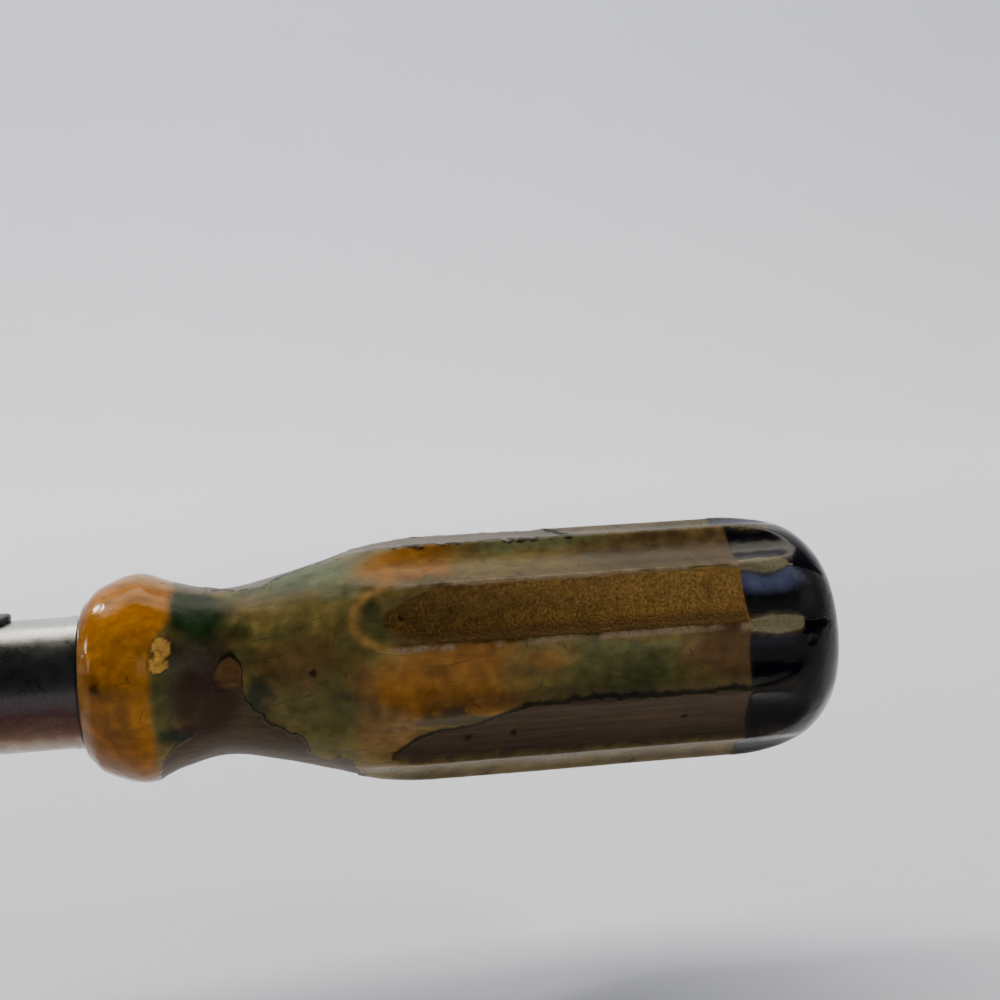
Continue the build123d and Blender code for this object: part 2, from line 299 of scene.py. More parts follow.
def handle_outline(rings):
    """The rings of the handle as (x, radius) in metres, from the bore's end out to the butt."""
    bead = curve_through(BEAD_OUTLINE, (1, 1), (1, 0))
    butt = curve_through(BUTT_OUTLINE, (1, 0), (0, -1))
    outside = evenly(np.vstack([[(FRONT_PLACE + 0.02, FRONT_RADIUS)], bead, butt]), rings)
    depth = (TANG_END - PLACE_ZERO) / MM + 1
    front = FRONT_PLACE
    bore = [(depth, 0), (depth, BORE_RADIUS), (front + 0.2, BORE_RADIUS),
            (front, BORE_RADIUS + 0.2), (front, 7.0), (front, FRONT_RADIUS - 0.15)]
    rings_mm = np.vstack([bore, outside])
    return rings_mm * MM + np.array([PLACE_ZERO, 0]), len(bore)


# ---- handle: where each finish lies ----
# Turn is the angle round the tool, from the -Y side up towards +Z, in degrees. The tables go with
# twelve flutes, whose middles are at 0, 30 and so on.
MM_PER_DEGREE = 0.22  # round the handle, about halfway between its waist and its grip
PAINTS = {
    "orange": (0.52, 0.185, 0.012), "amber": (0.33, 0.125, 0.010), "deep": (0.17, 0.062, 0.008),
    "pale_highlight": (0.42, 0.27, 0.11), "tan": (0.22, 0.115, 0.035), "olive": (0.155, 0.105, 0.027),
    "straw": (0.165, 0.120, 0.030), "sage": (0.115, 0.140, 0.062), "green": (0.009, 0.028, 0.006),
    "teal": (0.022, 0.028, 0.016), "moss": (0.070, 0.068, 0.019), "coal": (0.052, 0.040, 0.021),
    "maroon": (0.032, 0.014, 0.009), "brown": (0.105, 0.054, 0.019), "grey": (0.14, 0.118, 0.085),
    "flake": (0.56, 0.29, 0.05), "rust": (0.115, 0.055, 0.018), "bronze": (0.072, 0.040, 0.013),
    "wood": (0.064, 0.040, 0.022), "ink": (0.0012, 0.0014, 0.0040), "navy_sheen": (0.086, 0.096, 0.165),
    "buff": (0.30, 0.17, 0.045), "honey": (0.235, 0.098, 0.016), "ash": (0.26, 0.238, 0.20),
    "black": (0.004, 0.004, 0.004)}
# Each blot is (paint, place, turn, half length, half turn, strength), laid in this order.
PAINT_BLOTS = [
    ("moss", 28, -22, 8, 30, 0.6), ("brown", 27, 14, 6, 16, 0.65),
    ("straw", 25, 44, 6, 15, 0.8), ("sage", 28, 70, 9, 15, 0.95), ("moss", 27, 34, 3.5, 5, 0.6),
    ("straw", 32, 42, 4, 12, 0.6), ("coal", 15.5, 12, 4.6, 26, 0.95),
    ("green", 15.6, 54, 4.0, 25, 1.0), ("grey", 16, 92, 4.5, 14, 0.8),
    ("moss", 11.4, -8, 1.4, 22, 0.9), ("teal", 13.5, -27, 3, 9, 1.0),
    ("teal", 22.8, -9, 2.2, 12, 0.9), ("moss", 21.5, 20, 2, 9, 0.6),
    ("straw", 24.5, -14, 1.8, 6, 0.5), ("green", 20.8, 38, 2.6, 8, 0.6),
    ("tan", 23.0, 62, 2.4, 5, 0.35), ("amber", 43, 64, 6.5, 12, 0.85),
    ("straw", 53, 64, 6, 10, 0.8), ("olive", 64, 64, 8, 12, 0.8), ("sage", 68, 60, 3.4, 5, 0.7),
    ("sage", 57, 73, 12, 4, 0.6), ("bronze", 76, 62, 12, 14, 0.9),
    ("green", 34.5, 27, 1.8, 12, 0.35), ("moss", 33.5, -6, 2.2, 20, 0.6),
    ("sage", 34, 52, 3, 7, 0.6), ("green", 26.0, 60, 3.5, 6, 0.35),
    ("honey", 46, 0, 11, 17, 1.0), ("amber", 41, -4, 4, 10, 0.4), ("olive", 59, 2, 6, 14, 0.85),
    ("honey", 58.5, 7, 3.0, 5, 0.55), ("moss", 69, 0, 8, 14, 0.9),
    ("green", 70.5, -3, 3, 6, 0.45), ("sage", 68, 11, 9, 3.5, 0.35),
    ("brown", 81, 3, 5.5, 12, 0.95), ("moss", 62, -8, 5, 5, 0.5),
    ("tan", 39, -24, 4.5, 15, 0.75), ("coal", 46, -19, 5, 4.5, 0.8),
    ("brown", 36, -8, 1.6, 24, 0.4), ("moss", 37, 30, 3.6, 14, 0.8),
    ("teal", 37.5, 40, 1.6, 7, 0.5), ("coal", 50, 30, 12, 14, 0.3),
    ("olive", 60, -58, 28, 12, 0.9), ("grey", 68, -54, 22, 9, 0.35),
    ("tan", 42, -50, 5, 8, 0.6), ("grey", 60, 92, 26, 13, 0.75), ("straw", 46, 86, 6, 7, 0.5),
    ("moss", 84, 92, 9, 12, 0.6), ("green", 22, 140, 8, 36, 0.9), ("sage", 30, 118, 9, 16, 0.8),
    ("amber", 40, 146, 7, 16, 0.9), ("straw", 52, 126, 10, 14, 0.8),
    ("moss", 66, 122, 13, 13, 0.8), ("amber", 50, 182, 10, 16, 0.9),
    ("moss", 28, 186, 7, 26, 0.9), ("brown", 76, 176, 9, 15, 0.8),
    ("coal", 15, 200, 4, 30, 0.8), ("green", 32, 222, 8, 26, 0.8),
    ("orange", 41, 240, 5, 13, 0.7), ("moss", 58, 212, 12, 13, 0.8),
    ("straw", 62, 244, 14, 13, 0.7), ("brown", 30, 262, 8, 18, 0.7)]
# On the bead, the orange blot over the top and the deep blot underneath are painted light and
# shade, and the pale blot on top is a painted highlight.
BEAD_BLOTS = [
    ("orange", 7, 66, 7, 50, 0.9), ("deep", 5.5, -34, 6.0, 44, 0.75),
    ("amber", 9.2, -10, 1.2, 32, 0.7), ("deep", 3.4, 8, 1.1, 6, 0.9),
    ("black", 3.6, 7, 0.6, 2.4, 0.7), ("pale_highlight", 10, 96, 5, 20, 0.6),
    ("deep", 6, 160, 4, 30, 0.5), ("orange", 6, 215, 4, 35, 0.6), ("tan", 6, -70, 5, 20, 0.5)]
# Bare patches lie between a lower and an upper edge. Each edge is (place, turn).
BARE_PATCHES = [
    ([(9.9, -128), (14, -150), (24, -146), (33, -126), (35.2, -66)],
     [(9.9, -70), (10.9, -46), (12.6, -35), (14.8, -31), (15.8, -20), (16.8, -6), (17.6, 9),
      (18.5, 18), (19.8, 22), (20.8, 18), (21.2, 6), (21.4, -6), (22.6, -16), (24.0, -24),
      (26.0, -29), (28.2, -34), (29.2, -50), (31.0, -55), (32.6, -47), (33.8, -50),
      (35.2, -66)]),
    ([(17.0, 92), (19.5, 85), (21.0, 80), (22.5, 79), (24.2, 74), (25.0, 80), (28.0, 85),
      (31.0, 86), (33.5, 90), (36.0, 98), (38.5, 84), (41.0, 77), (52.0, 76), (64.0, 77),
      (68.0, 86)],
     [(17.0, 96), (20.0, 118), (27.0, 128), (36.0, 112), (44.0, 104), (60.0, 106), (68.0, 86)]),
    ([(39.5, -41), (43.0, -43), (84.2, -43)],
     [(39.5, -40), (41.5, -34), (44.0, -29), (47.0, -27.5), (50.0, -25), (52.0, -21), (54.0, -17),
      (57.0, -14.5), (62.0, -13.5), (70.0, -14.5), (84.2, -15)]),
    ([(48.0, 188), (58.0, 177), (76.0, 180), (80.0, 190)],
     [(48.0, 190), (56.0, 202), (70.0, 205), (80.0, 192)]),
    ([(13.0, 225), (18.0, 214), (26.0, 220)], [(13.0, 240), (19.0, 252), (26.0, 236)])]
# Each chip is (place, turn, half length, half turn, depth), the depth in millimetres.
FLAKED = [(11.3, 18.5, 0.95, 4.6, 0.26), (11.9, 27.5, 1.05, 5.6, 0.26),
          (11.5, 22.5, 0.6, 4.0, 0.2), (11.6, 205, 0.9, 6.0, 0.22)]
RUSTY = [(27.0, 150, 0.9, 5.0, 0.2)]
PITS = [(29.9, 7.5, 0.40, 2.0, 0.30), (48.5, -33, 0.45, 1.6, 0.2), (54.3, -32, 0.35, 2.0, 0.2),
        (76.0, -31, 0.35, 1.2, 0.2), (40.8, 31, 0.42, 1.6, 0.15), (92.3, 6, 0.6, 2.2, 0.2)]
SHALLOW = [(19.6, 12, 1.1, 6.5, 0.05), (33.0, 118, 0.8, 3.0, 0.3)]
CHIPS = FLAKED + RUSTY + PITS + SHALLOW
# Each of these is (place, turn, half length, half turn), with a strength at the end of a painted
# sheen or a rub.
GOLD_END_ARC = (41.5, 31, 6.6, 16.5)
# Painted shade: a maroon darkening over the neck's bare wood.
NECK_SHADE = (16.4, -8, 4.2, 25)
RAW_NECK = (19.8, 12, 1.9, 12)
THUMB_SMEAR = (55, 52, 9, 4)
# Painted reflection: blue-grey sheen patches laid into the dark dip.
PAINTED_DIP_SHEENS = [(87.4, 38.0, 5.2, 7.5, 1.0), (86.8, 9, 4.0, 5, 0.12), (87.5, 98, 4.5, 7, 0.3),
              (87.0, 219, 4.5, 7, 0.5), (87.0, 159, 4.5, 6, 0.3)]
BUTT_RUBS = [(95.6, -10, 1.6, 13, 0.25), (95.0, 120, 1.4, 22, 0.8), (96.0, 240, 1.6, 25, 0.7)]
# By the middle of each flute: how much gold paint is left, and the place where it starts.
GOLD_LEFT = {30: (1.0, 38.6), 60: (0.0, 66.0), 90: (0.0, 60.0), 120: (0.3, 70.0),
             150: (0.95, 39.0), 180: (0.4, 60.0), 210: (1.0, 38.0), 240: (0.6, 62.0),
             270: (0.5, 70.0), 300: (0.2, 70.0), 330: (0.0, 90.0), 0: (0.0, 90.0)}
# By the angle of each crest: how much the crest is rubbed, and how far its dip is rubbed off.
CREST_RUB = {15: (0.95, 1.0), 45: (0.85, 1.0), 75: (0.40, 0.45), 105: (0.6, 0.3),
             135: (0.8, 0.9), 165: (0.5, 0.2), 195: (0.7, 0.85), 225: (0.8, 0.35),
             255: (0.5, 0.7), 285: (0.45, 0.25), 315: (0.30, 0.2), 345: (0.15, 0.14)}


def turn_from(turn, centre):
    """The signed angle from centre to turn, the short way round."""
    return (turn - centre + 180) % 360 - 180


def reach_of(place, turn, blot):
    """1 at a blot's edge, less inside it."""
    centre, angle, half_length, half_turn = blot[:4]
    return ((place - centre) / half_length) ** 2 + (turn_from(turn, angle) / half_turn) ** 2


def lay(coat, name, share):
    """Lays a paint over the coat, as thickly as share says from 0 to 1."""
    coat += (np.array(PAINTS[name]) - coat) * np.clip(share, 0, 1)[:, None]


def lay_blots(coat, place, turn, blots, softness=0.35):
    """Lays each blot of paint with a soft edge."""
    for name, *blot, strength in blots:
        lay(coat, name, strength * smoothstep(2 - softness, softness, reach_of(place, turn, blot)))


def inside_patch(place, turn, lower, upper):
    """The distance inside a bare patch, about in millimetres."""
    lower, upper = np.array(lower, float), np.array(upper, float)
    middle = (upper[:, 1].mean() + lower[:, 1].mean()) / 2
    angle = middle + turn_from(turn, middle)
    below, above = angle - np.interp(place, *lower.T), np.interp(place, *upper.T) - angle
    depth = np.minimum(above, below) * MM_PER_DEGREE
    ends = np.minimum(place - upper[0, 0], upper[-1, 0] - place)
    return np.minimum(depth, ends)


def by_angle(table, turn, first, column):
    """A column of a table whose keys are angles one pitch apart."""
    key = (np.round((turn - first) / PITCH) * PITCH + first) % 360
    return np.vectorize(lambda angle: table[int(angle)][column])(key)


def bare_field(place, turn, large, small):
    """How bare the wood is: about half along the edge of a bare patch, and more inside it."""
    bare = np.full_like(place, -1.0)
    for lower, upper in BARE_PATCHES:
        bare = np.maximum(bare, inside_patch(place + 0.3 * small, turn + 3 * small, lower, upper))
    return np.clip(0.5 + 0.45 * bare, -0.2, 1.3) + 0.06 * large + 0.15 * small


def stained_coat(place, turn, large, small):
    """The stains of the grip and the neck, and the amber lacquer of the bead with its painted
    light and shade.
    """
    coat = np.tile(PAINTS["olive"], (len(place), 1))
    lay_blots(coat, place + 1.1 * large, turn + 3 * small + 6 * large, PAINT_BLOTS)
    arc = np.sqrt(reach_of(place, turn, GOLD_END_ARC))
    lay(coat, "buff", np.exp(-((arc - 1) / 0.12) ** 2) * smoothstep(42, 39, place))
    bead = np.tile(PAINTS["amber"], (len(place), 1))
    lay_blots(bead, place + 0.4 * small, turn + 8 * large, BEAD_BLOTS, 0.1)
    lay(bead, "tan", smoothstep(2.5, 1.7, place + 0.2 * small) * 0.6)
    bead_end = 10.2 + 2.3 * smoothstep(18, 52, turn_from(turn, 0)) - 0.35 * small
    on_bead = smoothstep(bead_end + 0.75, bead_end - 0.65, place)
    coat += (bead - coat) * on_bead[:, None]
    return coat * (1 + 0.28 * small + 0.22 * large * (1 - on_bead))[:, None].clip(0.4, 1.7)


def lay_dip_and_wood(coat, place, turn, small, bare, dipped):
    """Lays the dark dip with its painted sheen, the bare wood with its painted light and shade,
    and the chips over the stains.
    """
    lay(coat, "ink", dipped)
    # Painted reflection: the blue-grey sheen on the dip.
    for *sheen, strength in PAINTED_DIP_SHEENS:
        near = reach_of(place, turn, sheen) - 0.2 * small
        lay(coat, "navy_sheen", dipped * strength * smoothstep(1.5, 0.0, near))
    is_bare = smoothstep(0.40, 0.60, bare) * (1 - dipped)
    from_side = turn_from(turn, 0)
    lay(coat, "wood", is_bare)
    # Painted light and sheen: the bare wood is laid paler and greyer over the top (ash) and
    # underneath the neck (grey).
    lay(coat, "ash", is_bare * smoothstep(60, 85, from_side) * 0.85)
    lay(coat, "grey", is_bare * smoothstep(-38, -62, from_side) * smoothstep(38, 34, place) * 0.5)
    # Painted shade: maroon darkening over the neck.
    lay(coat, "maroon", smoothstep(1.5, 0.4, reach_of(place, turn, NECK_SHADE)) * 0.85)
    lay(coat, "rust", smoothstep(1.5, 0.5, reach_of(place, turn, RAW_NECK)) * is_bare)
    for pit in PITS:
        near = reach_of(place, turn, pit) - 0.4 * small
        lay(coat, "black", smoothstep(1.4, 0.8, near) * 0.85)
    for chips, name in ((FLAKED, "flake"), (RUSTY, "rust")):
        for chip in chips:
            near = reach_of(place, turn, chip) - 0.45 * small
            lay(coat, "black", smoothstep(1.9, 1.3, near) * 0.55)
            lay(coat, name, smoothstep(1.2, 0.95, near))


def gold_field(place, turn, across, large, small):
    """Where gold paint is left in the flutes."""
    in_flute = smoothstep(14.3, 13.2, across + 0.5 * small)
    left, start = (by_angle(GOLD_LEFT, turn, 0, column) for column in (0, 1))
    start = start + 0.035 * across**2
    gold = left * in_flute * smoothstep(start - 1, start + 2.0, place + 0.9 * large)
    return smoothstep(0.25, 0.6, gold + 0.25 * large * (left < 0.9))


def worn_field(coat, place, turn, across, large, small):
    """How far the crests are rubbed on the grip and through the dip, where each rub of the dip
    gets a dark edge."""
    from_crest = PITCH / 2 - across
    rub, dip_rub = (by_angle(CREST_RUB, turn, PITCH / 2, column) for column in (0, 1))
    crest = smoothstep(2.4, 0.5, from_crest) * smoothstep(37.0, 41.5, place) * rub
    crest *= smoothstep(85.0, 84.0, place) * np.clip(0.72 + 0.7 * large + 0.5 * small, 0, 1)
    smear = smoothstep(1.6, 0.5, reach_of(place, turn, THUMB_SMEAR) - 0.8 * small) * 0.2

    past_rub = np.clip(place + 1.3 * large - 88.0, 0, 9) / 3.4
    half_width = 2.3 + 2.1 * smoothstep(84.0, 87.5, place)
    half_width *= np.sqrt(np.clip(1 - past_rub**2, 0, 1))
    inside = half_width - from_crest + 0.9 * small
    finger = smoothstep(-1.2, 1.0, inside) * dip_rub
    finger *= smoothstep(83.9, 84.4, place) * (place < 91.5)
    edge = smoothstep(-2.4, -0.9, inside) * (half_width > 0.4)
    lay(coat, "coal", edge * dip_rub * smoothstep(83.9, 84.4, place) * 0.8)
    for *rubbed, strength in BUTT_RUBS:
        near = reach_of(place, turn, rubbed) - 0.8 * small
        finger = np.maximum(finger, strength * smoothstep(1.3, 0.8, near))
    return np.maximum(np.maximum(crest, smear * (place < 84)), finger)


def rim_field(place, turn):
    """How dark and high the lacquer's broken rim is: it fades over the neck and low down."""
    from_side = turn_from(turn, 0)
    faint = smoothstep(19.0, 17.2, place) * smoothstep(-36, -26, from_side)
    faint *= smoothstep(60, 40, from_side) * (place > 12)
    faint = np.maximum(faint, smoothstep(-38, -41, from_side) * smoothstep(38, 41, place))
    return 1 - 0.85 * faint


def paint_fields(place, turn, coords, options):
    """The finish of every point of the handle, as fields from 0 to 1 and a coat of paint."""
    large = cloud(coords, size=7 * MM, octaves=4, shift=3.1)
    small = cloud(coords, size=1.6 * MM, octaves=4, shift=11.7)
    signed = (turn + PITCH / 2) % PITCH - PITCH / 2
    across = np.abs(signed)
    dipped = smoothstep(options.dip / MM - 0.1, options.dip / MM + 0.1, place)
    bare = bare_field(place, turn, large, small)
    coat = stained_coat(place, turn, large, small)
    lay_dip_and_wood(coat, place, turn, small, bare, dipped)
    # Painted shade: darker towards the lower side of each flute along the grip, in the coat here
    # and in the gold paint.
    painted_flute_shade = smoothstep(-1, -12, signed) * smoothstep(36, 42, place) * (1 - dipped)
    coat *= (1 - 0.35 * painted_flute_shade)[:, None]
    worn = worn_field(coat, place, turn, across, large, small)
    chip = np.zeros_like(place)
    for where in CHIPS:
        chip = np.maximum(chip, smoothstep(1.3, 0.8, reach_of(place, turn, where) - 0.4 * small))
    return {"bare": bare, "rim": rim_field(place, turn),
            "gold": gold_field(place, turn, across, large, small), "painted_flute_shade": painted_flute_shade, "worn": worn,
            "chip": chip, "large": large, "small": small, "coat": coat}


def handle_relief(place, turn, fields, options):
    """How far each point stands off the cut wood, in metres."""
    film, bare = options.film, fields["bare"]
    lacquer = smoothstep(0.56, 0.42, bare)
    lip = np.exp(-((bare - 0.36) / 0.09) ** 2) * fields["rim"]
    relief = film * (lacquer - 1) + 0.5 * film * lip
    relief += 0.05 * MM * fields["large"] + 0.022 * MM * fields["small"]
    for centre, angle, half_length, half_turn, depth in CHIPS:
        near = reach_of(place, turn, (centre, angle, half_length, half_turn))
        relief -= depth * MM * 0.6 * smoothstep(1.35, 0.75, near - 0.35 * fields["small"])
    relief += 0.05 * MM * smoothstep(-0.12, 0.12, place - options.dip / MM)
    return relief - 0.06 * MM * np.clip(fields["worn"], 0, 1)


def shape_handle(piece, options):
    """Rolls the sheet into the lathe outline, cuts the flutes and lays on the finish."""
    rings, bore_rings = handle_outline(options.rings)
    mesh = piece.data
    coords = np.zeros(len(mesh.vertices) * 3)
    mesh.vertices.foreach_get("co", coords)
    coords = coords.reshape(-1, 3)
    number = np.rint((coords[:, 0] + 1) / 2 * (len(rings) - 1)).astype(int)
    around = (coords[:, 1] + 1) * math.pi
    turn = np.degrees(around) % 360
    x, radius = rings[number, 0], rings[number, 1].copy()
    outside = number >= bore_rings

    across = np.radians((turn + PITCH / 2) % PITCH - PITCH / 2)
    centre = options.flute_floor + options.cutter
    cut = centre * np.cos(across) - np.sqrt(options.cutter**2 - (centre * np.sin(across)) ** 2)
    place = (x - PLACE_ZERO) / MM
    # the crests start round on the shoulder and are sharper along the grip
    rounding = np.interp(place, [30, 45, 84, 90], [0.9, 0.24, 0.24, 0.28]) * MM
    radius = np.where(outside, smooth_minimum(radius, cut, rounding), radius)

    start = np.column_stack([x, -radius * np.cos(around), radius * np.sin(around)])
    fields = paint_fields(place, turn, start, options)
    relief = handle_relief(place, turn, fields, options)

    slope = np.gradient(rings, axis=0)
    slope /= np.linalg.norm(slope, axis=1)[:, None]
    along, out = -slope[number, 1], slope[number, 0]
    fade = smoothstep(bore_rings + 1, bore_rings + 8, number)
    fade = fade * smoothstep(len(rings) - 1, len(rings) - 12, number)
    radius = np.maximum(radius + relief * out * fade, 0)
    x = x + relief * along * fade
    shaped = np.column_stack([x, -radius * np.cos(around), radius * np.sin(around)])
    mesh.vertices.foreach_set("co", shaped.ravel())
    for name in ("bare", "rim", "gold", "painted_flute_shade", "worn", "chip"):
        set_attribute(mesh, name, fields[name])
    set_attribute(mesh, "along", place / PLACE_SCALE)
    layer = mesh.attributes.new("coat", "FLOAT_COLOR", "POINT")
    coat = np.column_stack([fields["coat"].clip(0, 1), np.ones(len(turn))])
    layer.data.foreach_set("color", coat.astype(np.float32).ravel())


def handle_material(finish, dip):
    """Wood under gold paint, stained and amber lacquer and a blue-black dip."""
    r = Recipe("handle_finish")
    r.shader.inputs["Specular IOR Level"].default_value = finish.specular
    r.shader.inputs["Specular Tint"].default_value = (*finish.tint, 1)
    shade = r.noise(2.4 * MM, 6, 0.6)
    fine = r.noise(0.35 * MM, 5, 0.65)
    grit = r.noise(0.38 * MM, 4, 0.62)
    grain = r.noise(0.5 * MM, 6, 0.65, stretch=(0.06, 1, 1))
    streak = r.noise(1.6 * MM, 5, 0.6, stretch=(0.12, 1, 1))
    ragged = r.math("SUBTRACT", fine, 0.5)

    coat = r.add("ShaderNodeAttribute", attribute_name="coat").outputs["Color"]
    fibre = r.blend(0.35, r.spread(grain, 0.3, 0.72, 0.55, 1.4),
                    r.spread(streak, 0.35, 0.65, 0.7, 1.25))
    wood = r.mix(1.0, coat, r.add_grey(fibre), "MULTIPLY")
    mottle = r.spread(r.blend(0.4, shade, streak), 0.32, 0.68, 0.68, 1.30)
    lacquer = r.mix(1.0, coat, r.add_grey(mottle), "MULTIPLY")
    lacquer = r.mix(r.spread(fine, 0.60, 0.76, 0, 0.35), lacquer, (0.010, 0.009, 0.006))

    crack = r.spread(r.cells(5.2 * MM, stretch=(0.8, 1.6, 1.6)), 0.0, 0.022, 1.0, 0.0)
    crack = r.math("MULTIPLY", crack, r.spread(shade, 0.52, 0.6))
    lacquer = r.mix(r.math("MULTIPLY", crack, 0.55), lacquer, (0.012, 0.009, 0.006))

    gold = r.ramp(grit, [(0.28, [c * 0.40 for c in finish.gold]), (0.5, finish.gold),
                         (0.72, [c * 1.7 for c in finish.gold])])
    gold = r.mix(r.spread(shade, 0.42, 0.72, 0, 0.5), gold, [c * 0.45 for c in finish.gold])
    along = r.attribute("along")
    # Painted light: the gold is laid darker at its front end and brighter towards the butt.
    gold = r.mix(1.0, gold, r.add_grey(r.spread(along, 0.38, 0.74, 0.55, 1.05)), "MULTIPLY")
    # Painted shade: the gold darkens towards the lower side of each flute.
    gold = r.mix(r.spread(r.attribute("painted_flute_shade"), 0, 1, 0, 0.8), gold, (0.035, 0.018, 0.007))

    covered = r.math("ADD", r.attribute("bare"), r.math("MULTIPLY", ragged, 0.22))
    is_bare = r.spread(covered, 0.49, 0.54)
    rim = r.math("MULTIPLY", r.spread(covered, 0.14, 0.34), r.spread(covered, 0.55, 0.50))
    rim = r.math("MULTIPLY", rim, r.attribute("rim"))
    gold_field = r.math("ADD", r.attribute("gold"), r.math("MULTIPLY", ragged, 0.5))
    is_gold = r.math("MULTIPLY", r.spread(gold_field, 0.42, 0.58), 0.94)
    chipped = r.math("ADD", r.attribute("chip"), r.math("MULTIPLY", ragged, 0.7))
    is_chip = r.spread(chipped, 0.47, 0.56)
    dip_edge = dip / MM / PLACE_SCALE
    past_edge = r.math("ADD", along, r.math("MULTIPLY", ragged, 0.0008))
    is_dip = r.spread(past_edge, dip_edge - 0.0005, dip_edge + 0.0005)
    worn = r.math("ADD", r.attribute("worn"), r.math("MULTIPLY", ragged, 0.4))
    is_worn = r.math("MULTIPLY", r.spread(worn, 0.12, 0.85), 0.9)

    surface = r.mix(is_gold, lacquer, gold)
    surface = r.mix(is_bare, surface, wood)
    surface = r.mix(r.math("MULTIPLY", rim, 0.92), surface, (0.004, 0.0035, 0.003))
    flakes = r.spread(fine, 0.3, 0.75, 0.7, 1.3)
    surface = r.mix(is_chip, surface, r.mix(1.0, coat, r.add_grey(flakes), "MULTIPLY"))
    cloudy = r.spread(shade, 0.3, 0.7, 0.7, 1.3)
    surface = r.mix(is_dip, surface, r.mix(1.0, coat, r.add_grey(cloudy), "MULTIPLY"))
    rub = r.mix(is_dip, finish.worn, finish.khaki)
    rub = r.mix(1.0, rub, r.add_grey(r.spread(fine, 0.3, 0.7, 0.78, 1.2)), "MULTIPLY")
    surface = r.mix(is_worn, surface, rub)
    r.output("Base Color", surface)

    satin = r.blend(r.spread(along, 0.10, 0.14), r.spread(shade, 0.3, 0.7, 0.08, 0.15),
                    r.spread(shade, 0.3, 0.7, 0.26, 0.40))
    rough = r.blend(is_gold, satin, r.spread(grit, 0.3, 0.7, 0.28, 0.42))
    rough = r.blend(is_bare, rough, r.spread(grain, 0.3, 0.7, 0.40, 0.58))
    rough = r.blend(is_chip, rough, 0.5)
    rough = r.blend(is_dip, rough, r.spread(fine, 0.35, 0.7, 0.12, 0.22))
    r.output("Roughness", r.blend(is_worn, rough, 0.42))
    unworn = r.spread(is_worn, 0, 1, 0.8, 0.0)
    covering = r.spread(r.math("MAXIMUM", is_dip, is_bare), 0, 1, 1, 0)
    covered_gold = r.math("MULTIPLY", is_gold, covering)
    r.output("Metallic", r.math("MULTIPLY", covered_gold, unworn))

    peel = r.math("MULTIPLY", grit, r.math("MULTIPLY", is_gold, 3.4))
    waves = r.math("MULTIPLY", shade, 1.4)
    wood_grain = r.math("MULTIPLY", grain, r.math("MULTIPLY", is_bare, 1.2))
    step = r.math("MULTIPLY", is_bare, -1.2)
    height = r.math("ADD", r.math("ADD", peel, waves), r.math("ADD", wood_grain, step))
    height = r.math("ADD", height, r.math("MULTIPLY", is_worn, r.math("MULTIPLY", fine, 1.0)))
    height = r.math("SUBTRACT", height, r.math("MULTIPLY", is_chip, 1.0))
    height = r.math("SUBTRACT", height, r.math("MULTIPLY", crack, 0.2))
    r.output("Normal", r.bump(height, 0.05 * MM, 0.8))
    return r.material


class SCREWDRIVER_OT_handle(bpy.types.Operator):
    """Turn the wooden handle, cut its flutes and lay on its old finish"""
    bl_idname = "screwdriver.handle"
    bl_label = "Fluted handle"

    def execute(self, context):
        options, finish = settings()
        rings, _ = handle_outline(options.rings)
        deselect()
        bpy.ops.mesh.primitive_grid_add(
            x_subdivisions=len(rings) - 1, y_subdivisions=options.segments, size=2,
            location=(0, 0, 0))
        piece = context.object
        piece.name = "fluted_handle"
        shape_handle(piece, options)
        bpy.ops.object.mode_set(mode="EDIT")
        bpy.ops.mesh.select_all(action="SELECT")
        bpy.ops.mesh.remove_doubles(threshold=1e-6)
        bpy.ops.mesh.normals_make_consistent(inside=False)
        bpy.ops.object.mode_set(mode="OBJECT")
        bpy.ops.object.shade_smooth()
        piece.data.materials.append(handle_material(finish, options.dip))
        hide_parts("handle")
        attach(piece, "handle")
        return {"FINISHED"}


# ---- metal finishes ----
def aged_steel(name, light, brown, roughness, scratch_along=True):
    """Polished steel that has browned with handling."""
    r = Recipe(name, Metallic=1.0)
    patina = r.noise(5 * MM, 6, 0.62)
    freckle = r.noise(0.5 * MM, 5, 0.7)
    stretch = (0.04, 1, 1) if scratch_along else (1, 0.1, 0.1)
    lines = r.noise(0.25 * MM, 4, 0.7, stretch=stretch)
    colour = r.mix(r.spread(patina, 0.36, 0.66), light, brown)
    colour = r.mix(r.spread(freckle, 0.60, 0.72, 0, 0.6), colour, [c * 0.25 for c in brown])
    r.output("Base Color", colour)
    rough = r.math("ADD", r.spread(patina, 0.3, 0.7, roughness, roughness * 1.6),
                   r.spread(freckle, 0.5, 0.8, 0, 0.15))
    r.output("Roughness", rough)
    height = r.math("ADD", r.math("MULTIPLY", lines, 0.8), r.math("MULTIPLY", freckle, 0.5))
    r.output("Normal", r.bump(height, 0.008 * MM, 0.55))
    return r.material


